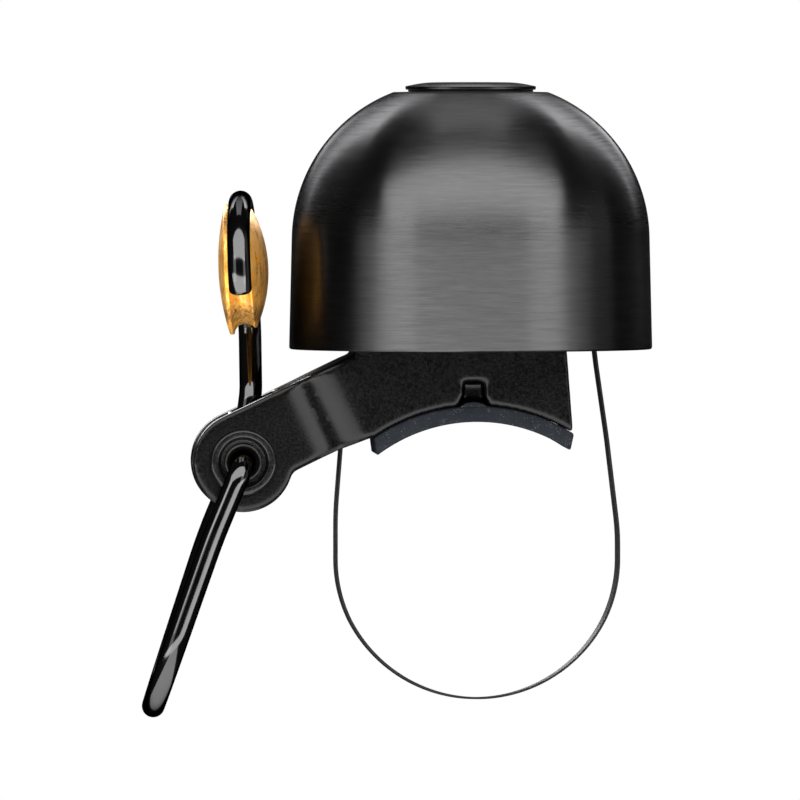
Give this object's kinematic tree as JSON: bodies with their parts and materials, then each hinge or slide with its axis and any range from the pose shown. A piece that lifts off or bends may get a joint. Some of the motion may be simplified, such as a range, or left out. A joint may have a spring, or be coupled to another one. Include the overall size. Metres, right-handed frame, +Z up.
{
  "type": "bicycle bell",
  "caption": "Small dome bell on a saddle bracket with a thin handlebar strap, rung by a sprung wire striker that carries a grooved brass disc.",
  "frame": {"origin": "centre of the handlebar that the strap closes round, at the middle of the strap's width", "axes": "+X from the striker towards the dome, +Y along the handlebar, away from the side that shows the lever's bearing first, +Z up through the crown"},
  "size_m": [0.047, 0.0334, 0.0583],
  "materials": {
    "dome_metal": "black plated, brushed round the axis",
    "cap_metal": "gloss black",
    "bracket_black": "matte black, fine grain",
    "pad_rubber": "dark blue-grey rubber",
    "strap_steel": "black coated spring steel",
    "zinc_steel": "zinc plated",
    "screw_black": "black oxide",
    "bush_plastic": "black bearing plastic",
    "liner_bronze": "dark sintered bronze",
    "wire_black": "gloss black plated wire",
    "brass": "turned and polished",
    "spring_steel": "bright spring wire",
    "insert_brass": "turned",
    "gasket_rubber": "black rubber",
    "isolator_nylon": "dark nylon",
    "sleeve_nylon": "natural nylon"
  },
  "bodies": {
    "bell": {"bell_dome": "dome_metal", "crown_cap": "cap_metal", "crown_gasket": "gasket_rubber", "crown_bush": "isolator_nylon", "crown_washer": "zinc_steel", "mount_body": "bracket_black", "post_insert": "insert_brass", "saddle_pad": "pad_rubber", "strap_band": "strap_steel", "anchor_pin": "zinc_steel", "strap_barrel": "zinc_steel", "tension_screw": "screw_black", "tension_washer": "zinc_steel", "bush_front": "bush_plastic", "bush_rear": "bush_plastic", "liner_front": "liner_bronze", "liner_rear": "liner_bronze", "return_spring": "spring_steel"},
    "striker": {"striker_wire": "wire_black", "striker_head": "brass", "spring_sleeve": "sleeve_nylon"}
  },
  "joints": [
    {"name": "hammer_swing", "type": "hinge", "parent": "bell", "child": "striker", "pos_m": [-0.0216, 0, 0.009], "axis": [0, 1, 0], "range_deg": [-42, 6], "stiffness_Nm_per_rad": 0.05, "deforming": ["return_spring"]}
  ]
}
